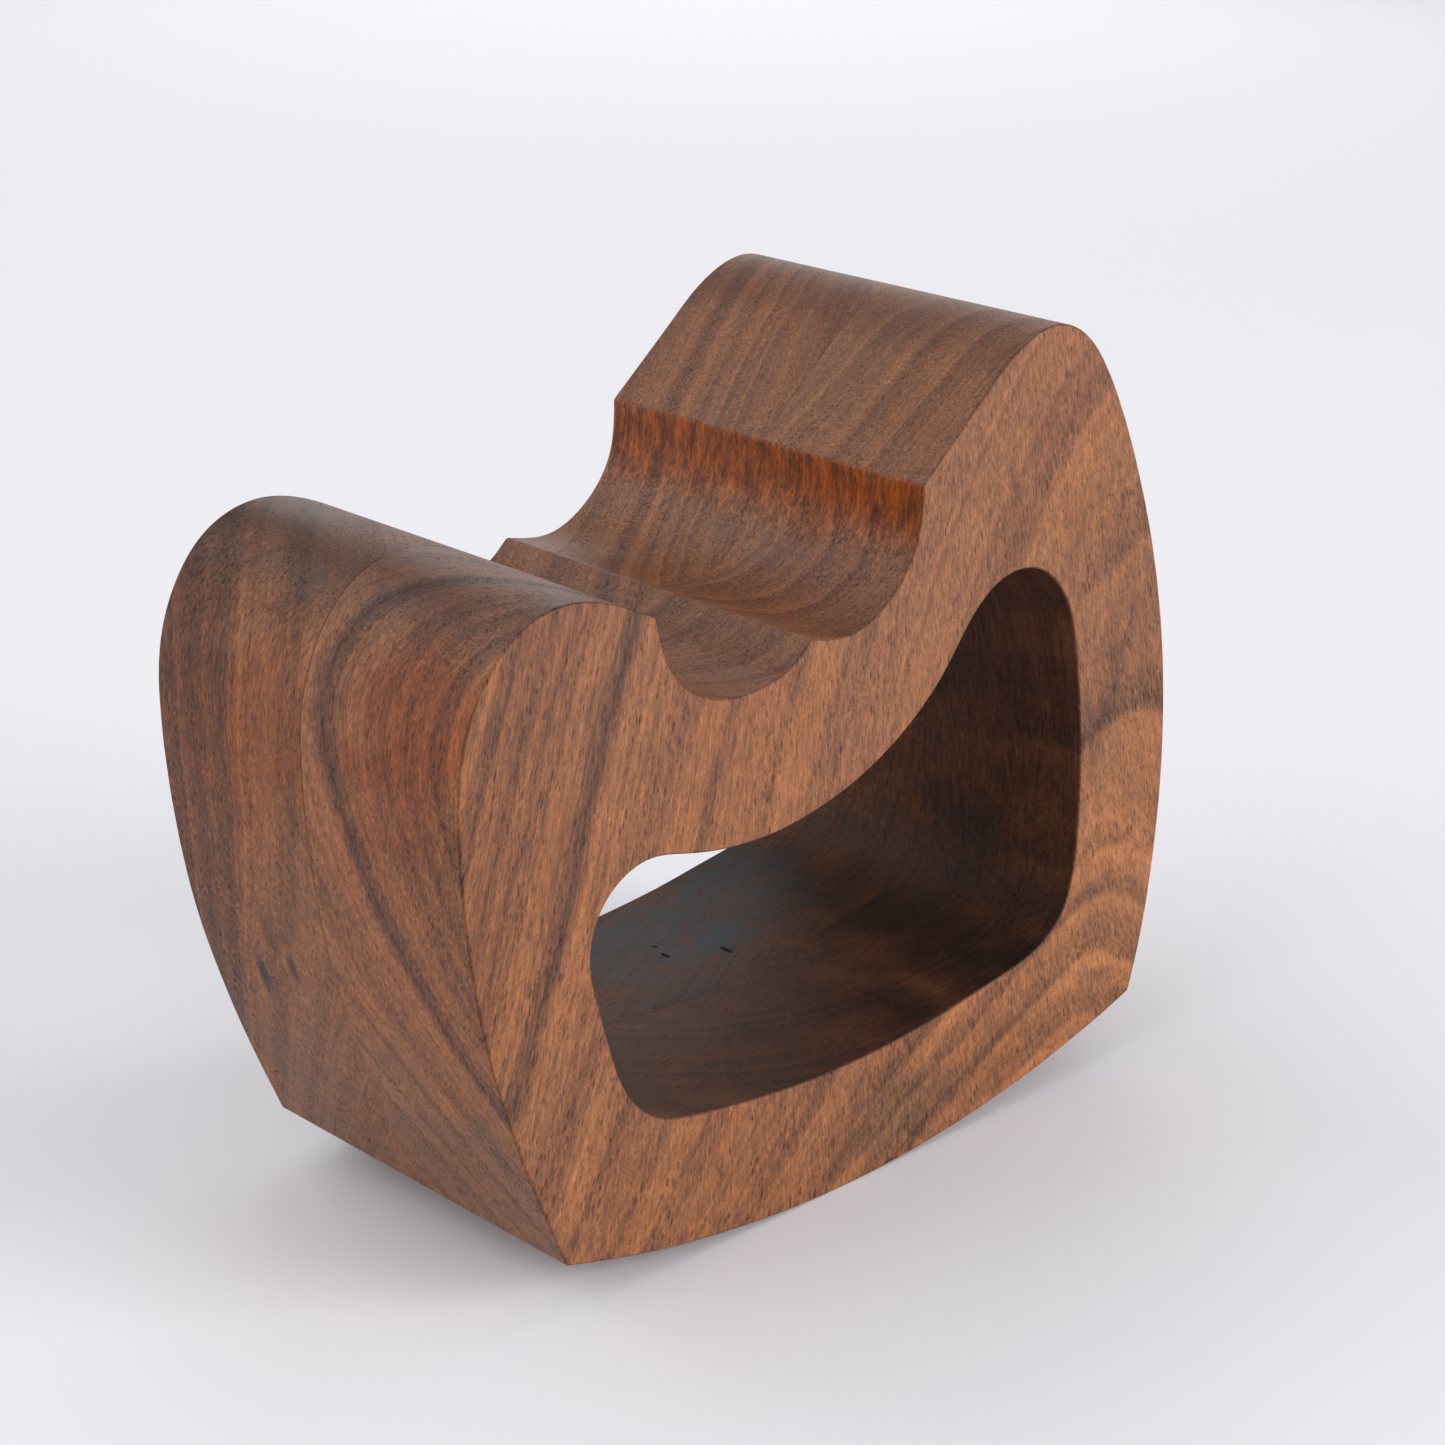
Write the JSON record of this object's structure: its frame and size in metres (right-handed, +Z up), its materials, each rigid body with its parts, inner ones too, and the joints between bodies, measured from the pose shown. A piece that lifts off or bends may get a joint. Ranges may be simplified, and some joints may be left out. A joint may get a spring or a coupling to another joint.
{
  "type": "phone stand",
  "caption": "Walnut phone stand of face-glued boards with a bowed outline, cross troughs, a sloping rest face under a rounded peak and a through window.",
  "frame": {"origin": "bottom centre of the bounding box, where the lowest line of the bowed underside touches the table", "axes": "+X from the front lip towards the high rear peak, +Y across the block from one flat side face to the other, +Z up"},
  "size_m": [0.116, 0.05, 0.0991],
  "materials": {
    "walnut_left": "satin oiled walnut",
    "walnut_right": "satin oiled walnut"
  },
  "bodies": {
    "root": {"board_left": "walnut_left", "board_right": "walnut_right"}
  },
  "joints": []
}
